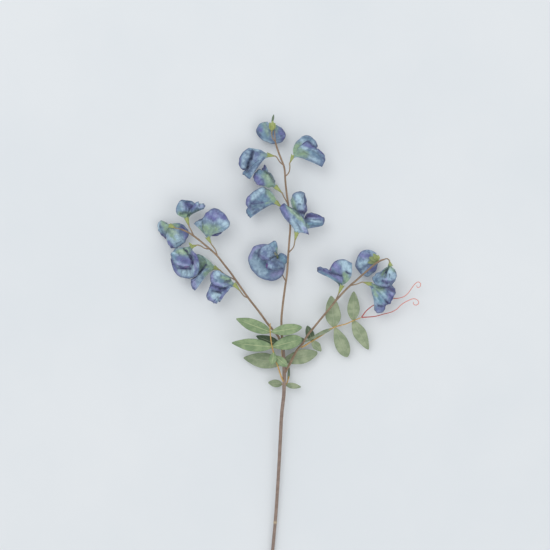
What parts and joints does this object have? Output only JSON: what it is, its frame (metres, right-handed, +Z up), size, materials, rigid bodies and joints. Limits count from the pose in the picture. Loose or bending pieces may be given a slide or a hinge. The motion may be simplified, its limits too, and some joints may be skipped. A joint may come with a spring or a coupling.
{
  "type": "sweet pea flower stem",
  "caption": "Cut stem of sweet pea lying down: ruffled blue and purple blooms on three slender branches, with oval leaflets and a pair of curled tendrils.",
  "frame": {"origin": "on the surface that the stem lies on, under the middle of its bounding box", "axes": "+Y along the main stem towards the topmost bloom, +Z up from the surface, +X towards the branch with the tendrils"},
  "size_m": [0.331, 0.6569, 0.0408],
  "materials": {
    "stem": "matt, finely ridged",
    "branch": "matt",
    "petal": "soft, veined, tinted blue to purple",
    "calyx": "matt, mottled yellow-green",
    "leaf": "matt with a pale midrib",
    "tendril": "smooth"
  },
  "bodies": {
    "root": {"leaf_spray_back": "leaf", "leaf_spray_front": "leaf", "leaf_spray_low": "leaf", "leaf_spray_right": "leaf", "left_bloom_1_calyx": "calyx", "left_bloom_1_petals": "petal", "left_bloom_2_calyx": "calyx", "left_bloom_2_petals": "petal", "left_bloom_3_calyx": "calyx", "left_bloom_3_petals": "petal", "left_bloom_4_calyx": "calyx", "left_bloom_4_petals": "petal", "left_bloom_5_calyx": "calyx", "left_bloom_5_petals": "petal", "left_bloom_6_calyx": "calyx", "left_bloom_6_petals": "petal", "left_branch": "branch", "main_stem": "stem", "right_bloom_1_calyx": "calyx", "right_bloom_1_petals": "petal", "right_bloom_2_calyx": "calyx", "right_bloom_2_petals": "petal", "right_bloom_3_calyx": "calyx", "right_bloom_3_petals": "petal", "right_bloom_4_calyx": "calyx", "right_bloom_4_petals": "petal", "right_branch": "branch", "tendrils": "tendril", "top_bloom_1_calyx": "calyx", "top_bloom_1_petals": "petal", "top_bloom_2_calyx": "calyx", "top_bloom_2_petals": "petal", "top_bloom_3_calyx": "calyx", "top_bloom_3_petals": "petal", "top_bloom_4_calyx": "calyx", "top_bloom_4_petals": "petal", "top_bloom_5_calyx": "calyx", "top_bloom_5_petals": "petal", "top_bloom_6_calyx": "calyx", "top_bloom_6_petals": "petal", "top_bloom_7_calyx": "calyx", "top_bloom_7_petals": "petal", "top_branch": "branch"}
  },
  "joints": []
}
